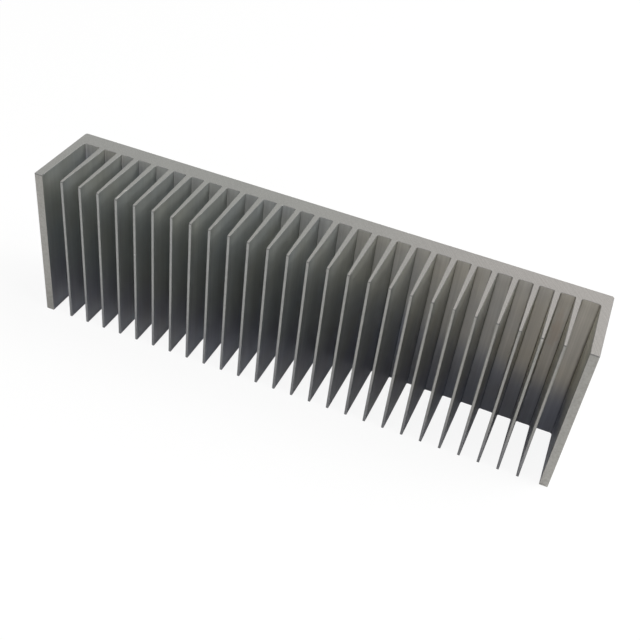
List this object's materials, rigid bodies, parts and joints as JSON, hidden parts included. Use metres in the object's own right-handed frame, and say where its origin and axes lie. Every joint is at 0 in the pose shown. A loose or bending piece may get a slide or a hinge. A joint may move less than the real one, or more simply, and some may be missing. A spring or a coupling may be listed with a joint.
{
  "type": "extruded heat sink",
  "caption": "Wide extruded aluminium heat sink: parallel tapered fins on a thick base plate, heavier outer fins, flat back and plain sawn ends.",
  "frame": {"origin": "middle of the lower sawn end, at the centre of the footprint", "axes": "+Z along the extrusion, up from the sawn end that it stands on; +X across the fins; +Y out of the flat mounting face, so that the fin tips look along -Y"},
  "size_m": [0.3, 0.05, 0.0915],
  "materials": {
    "aluminium": "mill finish, sawn ends"
  },
  "bodies": {
    "root": {"heat_sink": "aluminium"}
  },
  "joints": []
}
